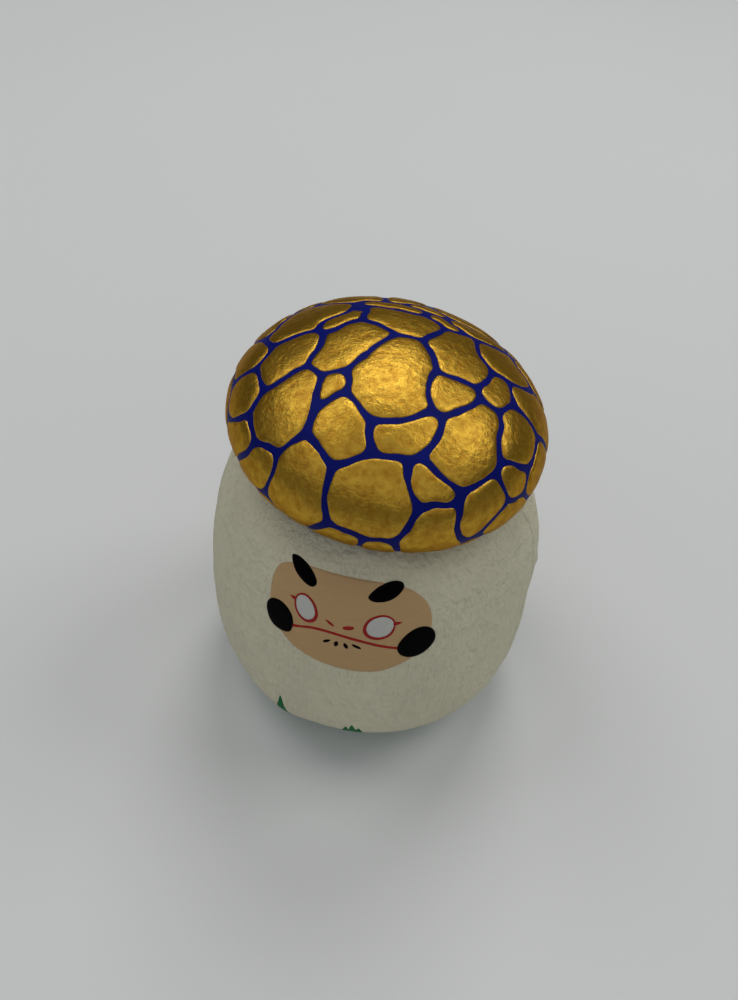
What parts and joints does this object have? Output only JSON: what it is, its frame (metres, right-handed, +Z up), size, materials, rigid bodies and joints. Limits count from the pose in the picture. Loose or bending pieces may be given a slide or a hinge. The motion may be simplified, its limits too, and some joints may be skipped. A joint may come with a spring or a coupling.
{
  "type": "daruma doll",
  "caption": "Palm-sized pasted-paper daruma doll: weighted round body, painted face and a leaning mushroom-shaped cap. It stands on a flat foot and rocks back upright when it is tipped by up to about 60 degrees.",
  "frame": {"origin": "centre of the underside of the foot, on the surface that the doll stands on", "axes": "+Z up, the painted face looks along -Y, +X is to the right of someone who looks at the face"},
  "size_m": [0.0706, 0.07, 0.0858],
  "materials": {
    "body_paper": "matte",
    "strip_paper": "matte",
    "clay": "matte",
    "kraft_paper": "matte",
    "greyboard": "matte",
    "softwood": "matte",
    "blue_paper": "matte",
    "gold_paint": "satin",
    "green_paint": "matte",
    "skin_paint": "matte",
    "white_paint": "matte",
    "red_paint": "matte",
    "black_paint": "matte"
  },
  "bodies": {
    "root": {"body_front": "body_paper", "body_back": "body_paper", "seam_strip_left": "strip_paper", "seam_strip_right": "strip_paper", "base_weight": "clay", "weight_cover": "kraft_paper", "base_disc": "greyboard", "neck_plug": "softwood", "neck_band": "kraft_paper", "cap_peg": "softwood", "cap_block": "softwood", "cap_dome": "blue_paper", "cap_underside": "blue_paper", "cap_rim_strip": "blue_paper", "cap_gilding": "gold_paint", "grass_paint": "green_paint", "face_ground": "skin_paint", "eye_whites": "white_paint", "eye_rims": "red_paint", "brows": "black_paint", "beard_tufts": "black_paint", "mouth_and_nostrils": "red_paint", "chin_marks": "black_paint"}
  },
  "joints": []
}
